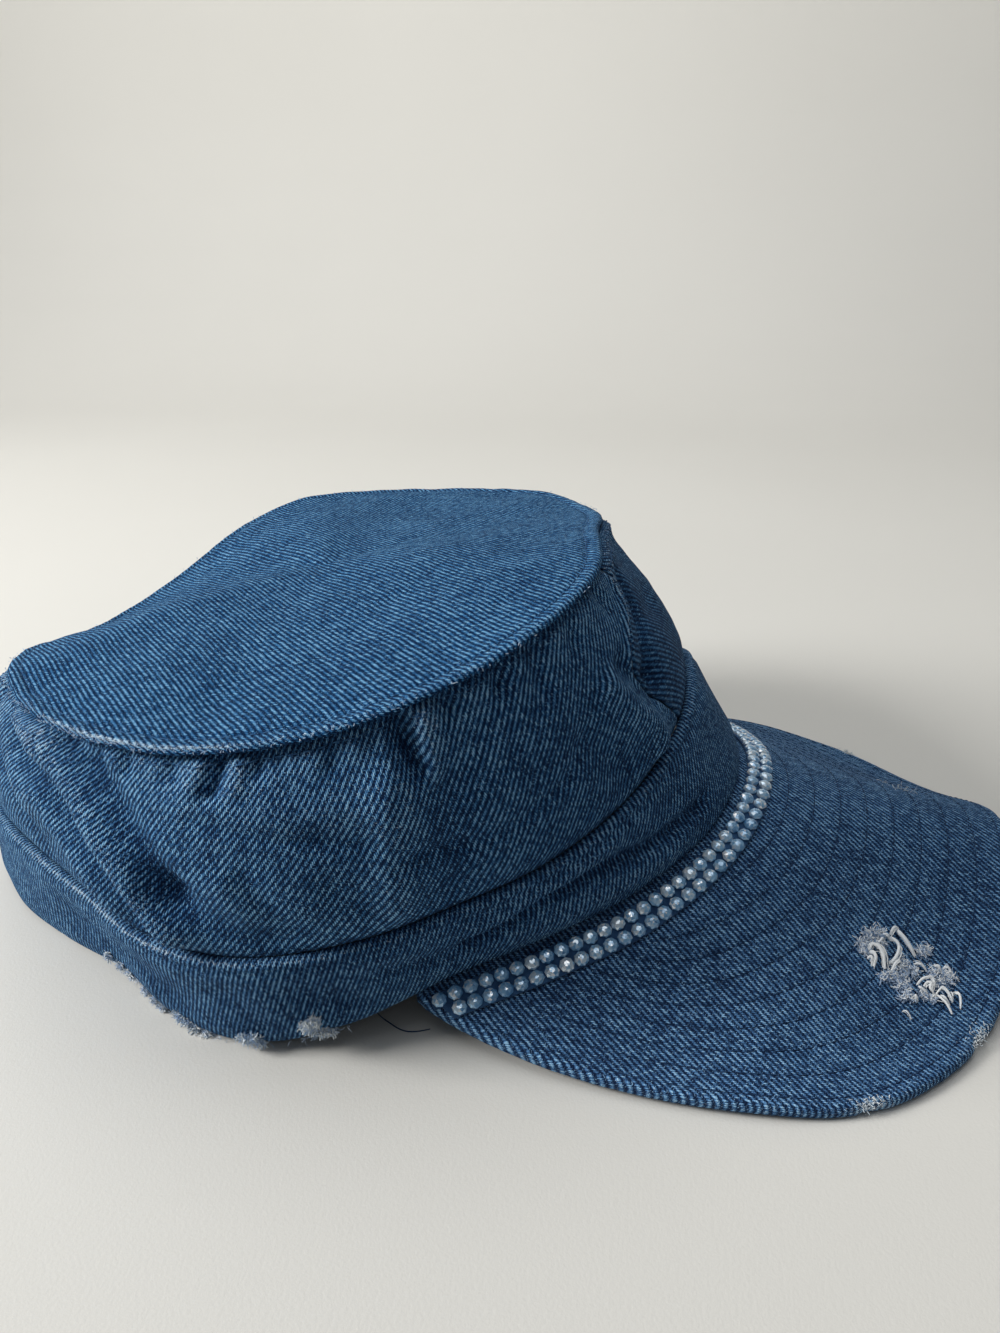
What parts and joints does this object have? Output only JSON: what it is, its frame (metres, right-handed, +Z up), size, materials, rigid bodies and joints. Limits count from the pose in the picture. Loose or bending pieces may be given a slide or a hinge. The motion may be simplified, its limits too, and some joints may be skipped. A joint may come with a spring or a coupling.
{
  "type": "cadet cap",
  "caption": "Soft denim cadet cap with an oval top panel, a banded crown, an arched stiff brim and rows of cut stones along the brim's inner edge.",
  "frame": {"origin": "middle of the bounding box's underside, on the surface the cap rests on", "axes": "+Z up, -Y the front where the brim points, -X the wearer's right"},
  "size_m": [0.1766, 0.266, 0.0917],
  "materials": {
    "denim_light": "worn blue twill, lighter on top",
    "denim": "washed blue twill",
    "denim_dark": "washed blue twill with frayed edges",
    "rhinestone": "clear grey-blue cut glass"
  },
  "bodies": {
    "root": {"crown_top": "denim_light", "front_panel": "denim", "side_panel": "denim", "band": "denim_dark", "brim": "denim_dark", "rhinestone_trim": "rhinestone"}
  },
  "joints": []
}
